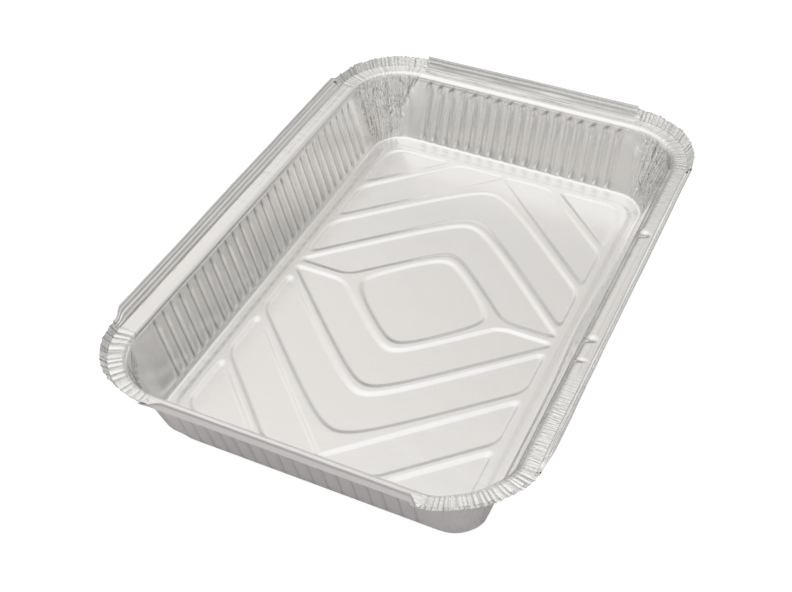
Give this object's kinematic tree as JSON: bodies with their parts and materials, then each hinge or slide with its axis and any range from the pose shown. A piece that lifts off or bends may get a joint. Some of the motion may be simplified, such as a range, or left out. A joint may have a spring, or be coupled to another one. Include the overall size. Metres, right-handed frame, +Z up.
{
  "type": "foil food tray",
  "caption": "Shallow rectangular food tray pressed from aluminium foil, with fluted sides, gathered corners, ribbed base and an upstanding lid lip.",
  "frame": {"origin": "middle of the base, on the plane that the tray stands on", "axes": "+Z up, the long side along Y, the short side along X"},
  "size_m": [0.2252, 0.3272, 0.0496],
  "materials": {
    "foil": "satin"
  },
  "bodies": {
    "root": {"foil_tray": "foil"}
  },
  "joints": []
}
